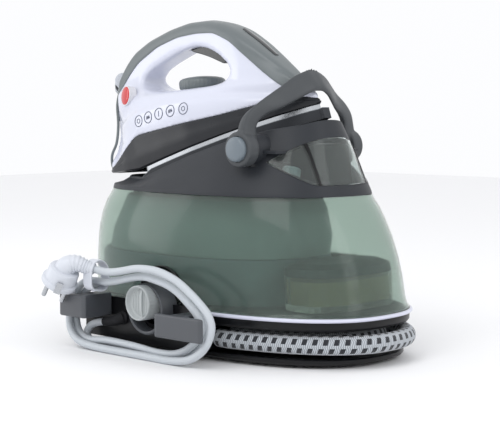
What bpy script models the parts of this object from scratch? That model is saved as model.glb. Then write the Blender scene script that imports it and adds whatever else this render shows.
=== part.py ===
"""Steam generator iron: base station with iron, lock handle, cord store and hose."""
import math

import bmesh
import bpy
from mathutils import Matrix, Vector

for old in list(bpy.data.objects):
    bpy.data.objects.remove(old, do_unlink=True)

MM = 0.001
GAP = 0.3
N = 56
SL = math.radians(18.5)
CS, SN = math.cos(SL), math.sin(SL)


def srgb(h):
    out = []
    for i in (0, 2, 4):
        c = int(h[i:i + 2], 16) / 255
        out.append(c / 12.92 if c <= 0.04045 else ((c + 0.055) / 1.055) ** 2.4)
    return out


MATS = {}


def material(key, colour, rough=0.45, metal=0.0, alpha=1.0, trans=0.0):
    m = bpy.data.materials.new(key)
    m.use_nodes = True
    b = m.node_tree.nodes["Principled BSDF"]
    r, g, bl = srgb(colour)
    b.inputs["Base Color"].default_value = (r, g, bl, 1)
    b.inputs["Roughness"].default_value = rough
    b.inputs["Metallic"].default_value = metal
    b.inputs["Alpha"].default_value = alpha
    b.inputs["Transmission Weight"].default_value = trans
    m.diffuse_color = (r, g, bl, alpha)
    MATS[key] = m


material("slate_abs", "45484d", 0.5)
material("white_abs", "dfe2ee", 0.25)
material("grey_cover", "7f8787", 0.4)
material("handle_grey", "6b6e70", 0.45)
material("button_grey", "7c878c", 0.4)
material("tank_smoke", "6f837e", 0.08, alpha=0.55, trans=0.5)
material("clear_pc", "aebcbc", 0.05, alpha=0.45, trans=0.8)
material("trim_white", "d5d8e6", 0.3)
material("base_black", "15171b", 0.5)
material("hook_grey", "6a6e72", 0.5)
material("cord_pvc", "d3d8dc", 0.5)
material("badge_red", "b01c22", 0.25)
material("hose_braid", "b9bcc0", 0.8)
material("rubber", "202226", 0.8)
material("steel", "b5b8bb", 0.3, 1.0)
material("brass", "b89a5a", 0.35, 1.0)
material("aluminium", "a9adb0", 0.4, 1.0)
material("housing_dark", "33393a", 0.6)
material("housing_green", "5a6b66", 0.6)
material("resin", "8c8148", 0.9)
material("pcb_green", "24502f", 0.6)
material("ptfe", "e6e4dc", 0.5)
material("lens_amber", "d98a2b", 0.2)
material("smoke_lens", "23262a", 0.15)


# ------------------------------------------------------------------ helpers
def table(t, x):
    if x <= t[0][0]:
        return t[0][1]
    for (a, p), (b, q) in zip(t, t[1:]):
        if x <= b:
            return p + (q - p) * (x - a) / (b - a)
    return t[-1][1]


def make(name, bm, mat):
    bmesh.ops.remove_doubles(bm, verts=bm.verts, dist=1e-6)
    bmesh.ops.recalc_face_normals(bm, faces=bm.faces)
    me = bpy.data.meshes.new(name)
    bm.to_mesh(me)
    bm.free()
    o = bpy.data.objects.new(name, me)
    bpy.context.scene.collection.objects.link(o)
    me.materials.append(MATS[mat])
    return o


def iron_pt(x, y, z):
    """Iron frame (along the sole, across, off the sole) to the world, in mm."""
    return (-101 + CS * x - SN * z, y, 163 + SN * x + CS * z)


def loft(rings, closed=False, caps=True, place=None):
    """Skin equal rings; each cap is a strip across mirrored points."""
    bm = bmesh.new()
    vs = []
    for r in rings:
        vs.append([bm.verts.new([c * MM for c in (place(*p) if place else p)]) for p in r])
    n = len(vs[0])
    pairs = list(zip(vs, vs[1:]))
    if closed:
        pairs.append((vs[-1], vs[0]))
    for a, b in pairs:
        for i in range(n):
            bm.faces.new((a[i], a[(i + 1) % n], b[(i + 1) % n], b[i]))
    if caps and not closed:
        for r in (vs[0], vs[-1]):
            for i in range(n // 2):
                q = [r[i], r[(i + 1) % n], r[(n - i - 1) % n], r[(n - i) % n]]
                u = []
                for v in q:
                    if v not in u:
                        u.append(v)
                if len(u) > 2:
                    bm.faces.new(u)
    return bm


def ring(a, b, z, x0=0.0, e=2.5, n=N):
    out = []
    for i in range(n):
        t = 2 * math.pi * i / n
        c, s = math.cos(t), math.sin(t)
        out.append((x0 + a * math.copysign(abs(c) ** (2 / e), c), b * math.copysign(abs(s) ** (2 / e), s),
                    z(x0 + a * math.copysign(abs(c) ** (2 / e), c)) if callable(z) else z))
    return out


def prism(poly, axis, a, b, place=None):
    """Polygon extruded along an axis; poly is in the other two axes in order."""
    bm = bmesh.new()

    def at(p, t):
        q = list(p)
        q.insert("xyz".index(axis), t)
        return [c * MM for c in (place(*q) if place else q)]
    lo = [bm.verts.new(at(p, a)) for p in poly]
    hi = [bm.verts.new(at(p, b)) for p in poly]
    n = len(poly)
    bm.faces.new(lo)
    bm.faces.new(hi)
    for i in range(n):
        bm.faces.new((lo[i], lo[(i + 1) % n], hi[(i + 1) % n], hi[i]))
    return bm


def box(x0, x1, y0, y1, z0, z1, place=None, c=0.0):
    if c:
        poly = [(x0 + c, y0), (x1 - c, y0), (x1, y0 + c), (x1, y1 - c), (x1 - c, y1), (x0 + c, y1), (x0, y1 - c), (x0, y0 + c)]
    else:
        poly = [(x0, y0), (x1, y0), (x1, y1), (x0, y1)]
    return prism(poly, "z", z0, z1, place)


def lathe(profile, centre, axis, n=24, closed=False, place=None):
    """Rings from (radius, distance along the axis) pairs."""
    ax = Vector(axis).normalized()
    u = ax.orthogonal().normalized()
    v = ax.cross(u)
    c = Vector(centre)
    rings = []
    for r, h in profile:
        rings.append([tuple(c + ax * h + (u * math.cos(2 * math.pi * i / n) + v * math.sin(2 * math.pi * i / n)) * r)
                      for i in range(n)])
    return loft(rings, closed=closed, place=place)


def rod(c, axis, r, l, n=24, ch=0.0, place=None):
    p = [(r, 0), (r, l)] if not ch else [(r - ch, 0), (r, ch), (r, l - ch), (r - ch, l)]
    return lathe(p, c, axis, n, place=place)


def smooth_path(pts, sub=6, closed=False):
    P = [Vector(p) for p in pts]
    out = []
    n = len(P)
    for i in range(n if closed else n - 1):
        a = P[(i - 1) % n] if closed or i > 0 else P[0] * 2 - P[1]
        b, c = P[i], P[(i + 1) % n]
        d = P[(i + 2) % n] if closed or i + 2 < n else P[-1] * 2 - P[-2]
        for k in range(sub):
            t = k / sub
            out.append(0.5 * ((2 * b) + (c - a) * t + (2 * a - 5 * b + 4 * c - d) * t * t + (3 * b - a - 3 * c + d) * t ** 3))
    if not closed:
        out.append(P[-1])
    return out


def sweep(path, radius, n=10, closed=False, place=None, up=(0, 0, 1), flat=1.0):
    """Tube along a path, kept upright to `up`; flat scales it along `up`."""
    upv = Vector(up)
    rings = []
    m = len(path)
    for i, p in enumerate(path):
        a = path[(i - 1) % m] if closed or i else path[0]
        b = path[(i + 1) % m] if closed or i < m - 1 else path[-1]
        t = (b - a).normalized()
        s = t.cross(upv)
        s = s.normalized() if s.length > 1e-4 else Vector((1, 0, 0))
        w = s.cross(t).normalized()
        r = radius[i] if isinstance(radius, list) else radius
        rings.append([tuple(p + s * r * math.cos(2 * math.pi * k / n) + w * r * flat * math.sin(2 * math.pi * k / n))
                      for k in range(n)])
    return loft(rings, closed=closed, place=place)


def boolean(o, bm, op="DIFFERENCE"):
    c = make("cutter", bm, "steel")
    m = o.modifiers.new("b", "BOOLEAN")
    m.operation = op
    m.solver = "EXACT"
    m.object = c
    dg = bpy.context.evaluated_depsgraph_get()
    me = bpy.data.meshes.new_from_object(o.evaluated_get(dg))
    o.modifiers.clear()
    mat = o.data.materials[0]
    o.data = me
    me.materials.clear()
    me.materials.append(mat)
    for p in me.polygons:
        p.material_index = 0
    bpy.data.objects.remove(c, do_unlink=True)
    return o


# ------------------------------------------------------------ base station
make("base_tray", loft([
    ring(138, 56, 4), ring(138, 56, 36), ring(178, 96, 36), ring(178, 96, 41), ring(186, 104, 41), ring(186, 104, 34),
    ring(184, 102, 32.4), ring(146, 64, 31.5), ring(146, 64, 6.5), ring(181, 100, 6), ring(181, 100, 2), ring(179, 98, 0)]), "base_black")
make("rim_trim", loft([
    ring(184, 102, 41.3), ring(188, 106, 41.6), ring(189, 107, 42.6), ring(189, 107, 44), ring(187.6, 105.8, 45),
    ring(176, 94, 45), ring(176, 94, 41.3)], closed=True), "trim_white")

OUT = [(45.3, 187, 105.5, 0), (50, 183, 103.8, 0), (58, 181, 103, 0), (75, 179.5, 102.2, -1.5), (93, 177, 100.7, -3.5),
       (115, 172, 98.4, -6.6), (130, 166.5, 95.4, -8.3), (142, 160.5, 92.4, -9), (151, 154, 89, -9), (154.4, 152, 88, -9)]
shell = [ring(a, b, z, x) for z, a, b, x in OUT] + [ring(a - 2.6, b - 2.6, z, x) for z, a, b, x in reversed(OUT)]
tank = make("tank_shell", loft(shell, closed=True), "tank_smoke")
KX, KZ = -14, 52
boolean(tank, rod((KX, -120, KZ), (0, 1, 0), 5.7, 30))
make("tank_floor", loft([
    ring(182.5, 101, 45.4), ring(182, 100.6, 46.5), ring(119, 73.6, 46.5, -40), ring(119, 73.6, 45.4, -40)], closed=True), "housing_green")

low = make("housing_lower", loft([
    ring(114, 68, 89, -40), ring(115.5, 69.5, 41.6, -40), ring(118.6, 73.2, 41.6, -40), ring(117, 71.6, 90, -40), ring(114, 68.5, 92, -40)]), "housing_dark")
boolean(low, rod((KX, -120, KZ), (0, 1, 0), 5.7, 70))
make("housing_upper", loft([
    ring(98, 52, 141, -34), ring(111, 65, 92.4, -40), ring(114, 68, 92.4, -40), ring(112, 66, 112, -38), ring(101, 55, 142, -34),
    ring(94, 48, 144.5, -34)]), "housing_green")
make("boiler", lathe([(20, 0), (36, 6), (38, 12), (38, 62), (36, 68), (20, 74)], (KX, -6, 8), (0, 0, 1), 32), "aluminium")
make("drain_socket", lathe([(5.4, 0), (5.4, 62.5), (4.1, 62.5), (4.1, 0)], (KX, -107.5, KZ), (0, 1, 0), 28, closed=True), "brass")
make("knob_bezel", lathe([(14.6, 0), (14.6, 10), (20, 10), (25, 4), (25, 0)], (KX, -107.6, KZ), (0, -1, 0), 36, closed=True), "hook_grey")
make("calc_plug", lathe([(3, -60), (3.8, -58), (3.8, -1), (3.8, 9)], (KX, -108, KZ), (0, -1, 0), 24), "steel")
knob = make("calc_knob", lathe([(17, 0), (17.5, 3), (17, 12), (15, 14)], (KX, -118.2, KZ), (0, -1, 0), 36), "hook_grey")
boolean(knob, prism([(3.5, 30), (30, 30), (30, -30), (3.5, -30)], "y", -141, -124, lambda x, y, z: (KX + x, y, KZ + z)))
boolean(knob, prism([(-30, 30), (-3.5, 30), (-3.5, -30), (-30, -30)], "y", -141, -126.5, lambda x, y, z: (KX + x, y, KZ + z)))
make("pump", box(40, 84, -22, 24, 4.3, 40, c=6), "housing_dark")
make("solenoid_valve", rod((104, 0, 4.3), (0, 0, 1), 13, 30, ch=2), "steel")
make("control_board", box(-110, -106, -36, 36, 4.5, 60), "pcb_green")
make("steam_pipe", sweep(smooth_path([(27.2, -12, 28), (33, -20, 28), (42, -31, 28), (60, -33, 28), (84, -33, 28), (97, -28, 28), (101.5, -14, 28)], 3), 3, 10), "brass")

make("filter_housing", loft([ring(33, 62, 48, 128, 3, 32), ring(33, 62, 80, 126, 3, 32), ring(31, 60, 80, 126, 3, 32),
                             ring(31, 60, 53.5, 128, 3, 32)]), "clear_pc")
make("resin_bed", loft([ring(30.5, 59.5, 53.9, 128, 3, 32), ring(30.5, 59.5, 76, 126.4, 3, 32)]), "resin")
make("filter_lid", loft([ring(33, 62, 80.4, 126, 3, 32), ring(32, 61, 88, 125, 3, 32), ring(24, 50, 92, 124, 3, 32)]), "housing_dark")

# cord store on the -Y side
panel = make("cord_panel", prism([(-66, 7), (-113, 7), (-113, 49), (-109.4, 49), (-109.4, 31), (-66, 31)], "x", -118, 48), "base_black")
boolean(panel, rod((KX, -120, KZ), (0, 1, 0), 25.4, 14, 36))
HZ = (33, 50)
make("hook_left", prism([(-97, -113.3), (-84, -113.3), (-84, -142), (-77, -143), (-77, -147), (-114, -147), (-117, -144), (-118, -141.5), (-97, -141.5)],
                        "z", *HZ), "hook_grey")
make("hook_right", prism([(26, -113.3), (44, -113.3), (52, -141.5), (84, -141.5), (86, -144), (84, -147), (22, -147), (22, -143), (30, -142)],
                         "z", 24, 46), "hook_grey")
make("cord_gland", lathe([(8, 0), (7, 5), (5.2, 9)], (-60, -113.3, 31), (0, -1, 0), 20), "rubber")
oval = []
for i in range(40):
    t = 2 * math.pi * i / 40
    c, s = math.cos(t), math.sin(t)
    oval.append(Vector((-13 + 99 * math.copysign(abs(c) ** 0.72, c), -129.5, 49 + 40 * math.copysign(abs(s) ** 0.8, s))))
make("cord_wrap", sweep(oval, 8.6, 10, closed=True, up=(0, 1, 0), flat=1.25), "cord_pvc")
make("cord_clip", box(-75, -63, -152, -140.7, 66, 92, c=3), "white_abs")
PD = Vector((-0.54, 0, -0.84)).normalized()
PQ = Vector((0.564, 0.745, -0.361))
PC = Vector((-89, -161, 86))
plug = make("plug_body", lathe([(7, -14), (10, -10), (13, 4), (18, 16), (18.5, 24), (17.5, 26)], PC, PD, 24), "white_abs")
for k, nm in ((1, "plug_pin_a"), (-1, "plug_pin_b")):
    make(nm, rod(PC + PD * 26.3 + PQ * (9.5 * k), PD, 2.4, 19, 14, 0.8), "steel")

# hose store in the groove round the base


def track(a, b, t0, t1, z0=19.2, z1=19.2, m=44, bulge=0.0):
    out = []
    for i in range(m + 1):
        t = math.radians(t0 + (t1 - t0) * i / m)
        c, s = math.cos(t), math.sin(t)
        k = bulge * max(0.0, c) ** 3
        out.append(Vector(((a + k) * math.copysign(abs(c) ** 0.8, c), b * math.copysign(abs(s) ** 0.8, s), z0 + (z1 - z0) * i / m)))
    return out


inner = [Vector((54, -73.5, 19.2))] + track(156.5, 76, -68, 180) + [Vector((-153, -28, 19.2))]
make("hose_inner", sweep(inner, 8.8, 10), "hose_braid")
outer = [Vector((58, -92, 19.2)), Vector((72, -92, 19.2))] + track(177, 96, -60, 132, 19.4, 20.6, bulge=12)
make("hose_outer", sweep(outer, 8.8, 10), "hose_braid")
# the riser runs from the rear of the groove to the iron's heel
BOOT = Vector(iron_pt(-66, 16, 127.6))
AX = (Vector(iron_pt(0.66, -0.72, -0.2)) - Vector(iron_pt(0, 0, 0))).normalized()
OE = outer[-1]
rise = smooth_path([(OE.x - 8, OE.y - 1.5, 20.6), (OE.x - 24, OE.y + 2, 22), (OE.x - 38, OE.y + 6, 38), (OE.x - 36, OE.y + 12, 80), (OE.x - 40, OE.y + 16, 140),
                    (OE.x - 52, OE.y + 12, 190), (OE.x - 66, OE.y - 2, 232), tuple(BOOT - 26 * AX - Vector((0, 4, 9))), tuple(BOOT - 14 * AX), tuple(BOOT - 1.2 * AX)], 4)
make("hose_riser", sweep(rise, 8.8, 10, up=(0, 1, 0)), "hose_braid")

for k, (fx, fy) in enumerate(((120, 60), (-120, 60), (120, -60), (-120, -60))):
    make("foot_%d" % (k + 1), lathe([(8, 0), (9, 1), (9, 2.7)], (fx, fy, -3), (0, 0, 1), 20), "rubber")

# ------------------------------------------------------------ collar and filler
TOPZ = [(-152, 167), (-94, 167), (-79, 171.5), (-13, 193), (27, 205), (77, 218), (104, 223), (118, 229)]


def topz(d):
    return lambda x: table(TOPZ, x) + d


def collar_loft(t=3.0):
    mid = lambda d, k: ring(143 - k, 76 - k, lambda x: 155 + (table(TOPZ, x) - 155) * 0.5 + d, -13)
    return loft([ring(131 - t, 60 - t, topz(-15), -17, 3), mid(0, t + .5), ring(149 - t, 85 - t, 154.8, -9), ring(152, 88, 154.8, -9),
                 ring(151.5, 87.5, 158, -9), mid(0, 0), ring(134, 63, topz(0), -17, 3), ring(131.4, 60.4, topz(0), -17, 3), ring(131.4, 60.4, topz(-12), -17, 3)])


WIN = [(88, 187), (102, 182), (117, 177.5), (132, 171), (220, 171), (220, 252), (134, 217), (122, 211), (106, 202)]


def inset(poly, d):
    """Move each edge of a counter-clockwise polygon inwards by d."""
    out = []
    n = len(poly)
    for i in range(n):
        a, b, c = (Vector(poly[(i + k) % n]) for k in (-1, 0, 1))
        u, v = (b - a).normalized(), (c - b).normalized()
        nu, nv = Vector((-u.y, u.x)), Vector((-v.y, v.x))
        m = (nu + nv).normalized()
        out.append(tuple(b + m * (d / max(0.3, m.dot(nu)))))
    return out


collar = make("collar", collar_loft(), "slate_abs")
boolean(collar, prism(WIN, "y", -120, 120))
for s in (1, -1):
    boolean(collar, rod((71, s * 30, 200), (0, s, 0), 13.3, 60))
    boolean(collar, rod((71, s * 64.8, 200), (0, s, 0), 17.4, 60))


def shell_piece(name, y0, y1, mat):
    t = 2.4
    mid = lambda k: ring(143 - k, 76 - k, lambda x: 155 + (table(TOPZ, x) - 155) * 0.5, -13)
    bm = loft([ring(134 - t, 63 - t, topz(-0.2), -17, 3), mid(t), ring(152 - t, 88 - t, 155, -9), ring(152, 88, 155, -9),
               mid(0), ring(134, 63, topz(-0.2), -17, 3)], closed=True)
    o = make(name, bm, mat)
    return boolean(o, prism(inset(WIN, 0.35), "y", y0, y1), "INTERSECT")


shell_piece("window_near", -120, -34.4, "clear_pc")
shell_piece("window_far", 34.4, 120, "clear_pc")
shell_piece("fill_flap", -34, 34, "clear_pc")
make("filler_bowl", loft([ring(40, 60, 156, 78, 2.3, 32), ring(40, 60, 160, 78, 2.3, 32), ring(24, 46, 166, 74, 2.3, 32)]), "housing_dark")

# ------------------------------------------------------------ rest tray and iron
WP = [(-66, 0), (-65, 14), (-60, 26), (-52, 34), (-40, 40), (-20, 46.5), (0, 49), (40, 50), (80, 49), (120, 43), (150, 35.5), (180, 23.5), (200, 13), (212, 6), (218, 0)]


def plan(z, d=0.0, x0=-66.0, n=48, tip=218.0):
    """Iron outline grown by d, cut off behind x0."""
    out = []
    a, b = x0 - d, tip + d
    for i in range(n):
        t = 2 * math.pi * i / n
        x = (a + b) / 2 + (b - a) / 2 * math.cos(t)
        u = -66 + (x - a) * (218 + 66) / (b - a) if x0 <= -65 else x
        w = table(WP, min(u, 218))
        if x0 > -65:
            e = min(1.0, max(0.0, (x - a) / 12))
            w = w * math.sqrt(max(0.0, 1 - (1 - e) ** 2))
        w = 0 if i in (0, n // 2) else max(0.5, w + d)
        y = w if i < n / 2 else -w
        out.append((x, y, z(x) if callable(z) else z))
    return out


make("rest_tray", loft([
    plan(-0.7, 3.5, -4), plan(lambda x: table([(0, -0.5), (22, 6)], x), 3.5, -4), plan(lambda x: table([(0, -0.5), (22, 6)], x), 5, -4),
    plan(-4.5, 5, -4)], place=iron_pt), "slate_abs")
for s, nm in ((-1, "near"), (1, "far")):
    make("pivot_boss_" + nm, lathe([(10, 0), (13, 0), (13, 14), (11, 15.5)], (71, s * 49, 200), (0, s, 0), 28), "slate_abs")

make("soleplate", loft([plan(0, -2.5, -2), plan(1.2, -1.2, -2), plan(11.6, -1.2, -2)], place=iron_pt), "steel")
make("heating_block", loft([plan(12, -14, 12, tip=178), plan(25, -16, 12, tip=174)], place=iron_pt), "aluminium")
ZB = [(-66, 30), (-48, 30.5), (-32, 34.5), (3, 47), (14, 46.3), (77, 38), (135, 29.3), (176, 21.3), (211, 14.5), (218, 14)]
zs = lambda x: 12 + max(0.0, -x) * 0.22
make("skirt", loft([
    plan(zs), plan(lambda x: table(ZB, x) - 0.3), plan(lambda x: table(ZB, x) - 0.3, -3), plan(zs, -3)], closed=True, place=iron_pt), "slate_abs")

ZT = [(-62, 96), (-58, 112), (-50, 126), (-38, 133.5), (-15, 142), (19, 147.3), (51, 148.2), (80, 145), (108, 137), (128, 127), (144, 115),
      (164, 92.5), (183, 67), (198, 46), (210, 26)]
WT = [(-62, 12), (-50, 14.5), (0, 15), (50, 15.5), (100, 17), (125, 20), (150, 21), (178, 15), (198, 8), (210, 3)]


def body_section(x, dz=0.0, k=0.0):
    zb, zt = table(ZB, x) + dz, table(ZT, x)
    w, wt = table(WP, x) - k, table(WT, x)
    deck = 88 - 0.25 * (x - 30)
    zd = min(deck, zb + 0.72 * (zt - zb))
    wd = min(28, 0.72 * w + 2)
    L = [(w, zb), (w - 0.2, zb + 0.25 * (zd - zb)), (w + (wd - w) * 0.45, zb + 0.66 * (zd - zb)), (wd, zd), (wt + 2, zd + 0.3 * (zt - zd)),
         (wt, zd + 0.7 * (zt - zd)), (wt * 0.85, zt - 0.06 * (zt - zd)), (wt * 0.5, zt)]
    return [(x, y, z) for y, z in L] + [(x, -y, z) for y, z in reversed(L)]


def x_loft(stations, fn):
    rings = [fn(x) for x in stations]
    bm = bmesh.new()
    vs = [[bm.verts.new([c * MM for c in iron_pt(*p)]) for p in r] for r in rings]
    n = len(vs[0])
    for a, b in zip(vs, vs[1:]):
        for i in range(n):
            bm.faces.new((a[i], a[(i + 1) % n], b[(i + 1) % n], b[i]))
    for r in (vs[0], vs[-1]):
        for i in range(n // 2 - 1):
            bm.faces.new((r[i], r[i + 1], r[n - 2 - i], r[n - 1 - i]))
    return bm


OPEN = [(14, 100), (15, 108), (22, 114), (34, 118), (67, 119.3), (92, 110), (110, 96), (121, 83), (124, 74), (120, 68), (112, 66.9), (70, 77.5), (29.5, 88), (19, 94)]
XS = [-62, -60, -55, -46, -34, -20, -6, 6, 18, 32, 51, 70, 90, 105, 118, 130, 142, 154, 166, 180, 194, 209]
body = make("iron_shell", x_loft(XS, body_section), "white_abs")
boolean(body, prism(OPEN, "y", -60, 60, iron_pt))
boolean(body, prism([(69, 111), (69, 121.5), (73, 122), (93, 114.5), (111, 101), (118, 91), (117, 84), (106, 84)], "y", -7.7, 7.7, iron_pt))
boolean(body, loft([plan(5, -4.2, -44, tip=200), plan(34, -5.5, -44, tip=180), plan(46, -16, -36, tip=140), plan(58, -30, -20, tip=118)], place=iron_pt))


def strip(path, widths, t, lift, drop=0.8):
    """Curved cover following an XZ line of the iron, t thick, lifted off it."""
    rings = []
    for i, (x, z) in enumerate(path):
        a, b = path[max(i - 1, 0)], path[min(i + 1, len(path) - 1)]
        d = Vector((b[0] - a[0], 0, b[1] - a[1])).normalized()
        nrm = Vector((-d.z, 0, d.x))
        w = widths[i]
        r = []
        for y, h in ((w, lift - drop + 0.3), (w * 0.86, lift + t - 0.5), (w * 0.5, lift + t)):
            r.append((x + nrm.x * h, y, z + nrm.z * h))
        for y, h in ((-w * 0.5, lift + t), (-w * 0.86, lift + t - 0.5), (-w, lift - drop + 0.3), (-w * 0.97, lift - drop), (-w * 0.5, lift), (w * 0.5, lift), (w * 0.97, lift - drop)):
            r.append((x + nrm.x * h, y, z + nrm.z * h))
        rings.append(r)
    bm = bmesh.new()
    vs = [[bm.verts.new([c * MM for c in iron_pt(*p)]) for p in r] for r in rings]
    n = len(vs[0])
    for a, b in zip(vs, vs[1:]):
        for i in range(n):
            bm.faces.new((a[i], a[(i + 1) % n], b[(i + 1) % n], b[i]))
    for r in (vs[0], vs[-1]):
        bm.faces.new(r)
    return bm


TOPP = [p for p in ZT if p[0] >= -50]
make("top_cover", strip(TOPP, [table(WT, x) * 0.62 for x, _ in TOPP], 3, 0.9), "grey_cover")
rear = [(-62, 44), (-62, 60), (-62, 78), (-62, 92)]
make("heel_cover", strip(rear, [12, 13, 12, 9], 3, 0.9, 0), "grey_cover")
make("hose_boot", lathe([(7, 0), (9.5, 0), (9.5, 3), (8.5, 4), (9.5, 5), (9.5, 8), (8.5, 9), (11, 11)], (-66, 16, 127.6), (0.66, -0.72, -0.2), 20, place=iron_pt), "white_abs")

trigger = make("trigger", prism([(71, 113.5), (80, 107), (94, 98), (106, 87), (111, 85.5), (114, 87.5), (109, 94.5), (92, 108), (72, 115.8)], "y", -7, 7, iron_pt), "handle_grey")
DN = Vector((0.25, 0, 0.97)).normalized()
make("dial", lathe([(23.5, 0), (24, 1.2), (24, 7.5), (22, 9)], (69.5, 0, 78.6), DN, 36, place=iron_pt), "grey_cover")
make("lamp_lens", strip([(134, 122.5), (144, 115), (164, 92.5), (178, 73.7)], [5, 5.5, 5, 3.5], 1.2, 5.0, 0), "smoke_lens")
make("badge", lathe([(8.5, 0), (8.5, 1), (7, 2)], (-14, -31.8, 98.6), (0, -0.86, 0.5), 24, place=iron_pt), "badge_red")

# ------------------------------------------------------------ lock handle
ARCH_OUT = [(0, 84, 0), (16, 84, -3), (30, 79, -1), (41, 66, 3), (50, 50, 6), (60, 36, 10), (70, 24, 13), (77, 10, 15), (78, 0, 15)]
ARCH_IN = [(0, 66, 2), (16, 66, -1), (24, 63.5, 2), (31, 54, 7), (37.5, 40, 14), (45, 28, 20), (52, 18, 25), (57, 7, 28), (58, 0, 28)]


def arch():
    secs = []
    o = list(zip(ARCH_OUT, ARCH_IN))
    full = [(a, b, 1) for a, b in o] + [(a, b, -1) for a, b in reversed(o[:-1])]
    bm = bmesh.new()
    for (ho, yo, xo), (hi, yi, xi), s in full:
        po, pi = Vector((71 + xo, s * yo, 200 + ho)), Vector((71 + xi, s * yi, 200 + hi))
        side = Vector((0.66, 0, 0.75)) if ho > 44 else Vector((1, 0, 0.15)) if ho > 20 else Vector((1, 0, 0))
        t = 6.5 if ho > 44 else 9 if ho > 20 else 11
        side = side.normalized() * t
        secs.append([bm.verts.new(v * MM) for v in (po, po + side, pi + side, pi)])
    for a, b in zip(secs, secs[1:]):
        for i in range(4):
            bm.faces.new((a[i], a[(i + 1) % 4], b[(i + 1) % 4], b[i]))
    bm.faces.new(secs[0])
    bm.faces.new(secs[-1])
    return bm


lock = make("lock_handle", arch(), "handle_grey")
for s in (1, -1):
    boolean(lock, rod((71, s * 65.2, 200), (0, s, 0), 17, 20, 32, 1.5), "UNION")
for s in (1, -1):
    boolean(lock, rod((71, s * 75, 200), (0, s, 0), 12.4, 20, 28))
for s, nm in ((-1, "near"), (1, "far")):
    make("push_button_" + nm, lathe([(12, 0), (12, 8.5), (11, 10.5), (8, 11.6)], (71, s * 79, 200), (0, s, 0), 28), "button_grey")

# ------------------------------------------------------------ control panel on the far side
ctl = make("control_panel", prism([(106.2, 50), (112, 50), (112, 84), (105.4, 84)], "x", -60, 60), "slate_abs")
boolean(ctl, box(-46.4, -25.6, 109.6, 114, 57.6, 76.4))
boolean(ctl, rod((20, 109.6, 67), (0, 1, 0), 10.4, 5, 32))
make("power_switch", box(-46, -26, 112.3, 115.5, 58, 76, c=1.2), "base_black")
make("steam_button", rod((20, 112.3, 67), (0, 1, 0), 10, 4.5, ch=1), "button_grey")
make("indicator_lens", rod((46, 112.3, 67), (0, 1, 0), 3, 1.2), "lens_amber")
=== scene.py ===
"""Steam generator iron: the looks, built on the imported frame. Lengths are in millimetres."""
import math

import bmesh
import bpy
import numpy as np
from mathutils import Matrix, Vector
from mathutils.bvhtree import BVHTree


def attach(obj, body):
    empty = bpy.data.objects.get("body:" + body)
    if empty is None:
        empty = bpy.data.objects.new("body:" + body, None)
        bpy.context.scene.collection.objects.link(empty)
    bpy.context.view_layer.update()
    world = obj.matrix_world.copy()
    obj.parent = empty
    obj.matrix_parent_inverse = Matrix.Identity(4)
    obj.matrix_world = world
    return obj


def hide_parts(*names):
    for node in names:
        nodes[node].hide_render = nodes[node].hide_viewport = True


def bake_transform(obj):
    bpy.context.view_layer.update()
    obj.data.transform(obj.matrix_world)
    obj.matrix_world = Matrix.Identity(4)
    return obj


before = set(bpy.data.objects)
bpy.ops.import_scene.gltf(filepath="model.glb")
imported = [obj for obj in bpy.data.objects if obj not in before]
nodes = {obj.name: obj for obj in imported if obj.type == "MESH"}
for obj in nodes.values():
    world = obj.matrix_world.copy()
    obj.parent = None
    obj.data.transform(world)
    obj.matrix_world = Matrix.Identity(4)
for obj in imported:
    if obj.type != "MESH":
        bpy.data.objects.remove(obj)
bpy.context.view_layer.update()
scene = bpy.context.scene

MM = 0.001
REST_SLOPE = math.radians(18.5)
REST_X, REST_Z = -101, 163
KNOB_X, KNOB_Z = -14, 52
PIVOT_X, PIVOT_Z = 71, 200
CORD_RADIUS = 3.75
HOSE_RADIUS = 8.8
FLOOR_Z = -3.0

# ------------------------------------------------------------------ camera
AZ, EL, DIST = math.radians(43.1), math.radians(4.36), 1.423
target = Vector((0.0045, 0.0038, 0.1327))
away = Vector((math.sin(AZ) * math.cos(EL), -math.cos(AZ) * math.cos(EL), math.sin(EL)))
cam = bpy.data.objects.new("camera", bpy.data.cameras.new("camera"))
scene.collection.objects.link(cam)
cam.location = target + away * DIST
cam.rotation_euler = (-away).to_track_quat("-Z", "Y").to_euler()
cam.data.sensor_width = 36
cam.data.lens = 99.6
scene.camera = cam
scene.view_settings.view_transform = "Standard"


# --------------------------------------------------------------- materials
def srgb(h):
    """Linear colour of a hex code."""
    out = []
    for i in (0, 2, 4):
        c = int(h[i:i + 2], 16) / 255
        out.append(c / 12.92 if c <= 0.04045 else ((c + 0.055) / 1.055) ** 2.4)
    return (*out, 1)


def darker(colour, share):
    return tuple(c * share for c in colour[:3]) + (1,)


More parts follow.
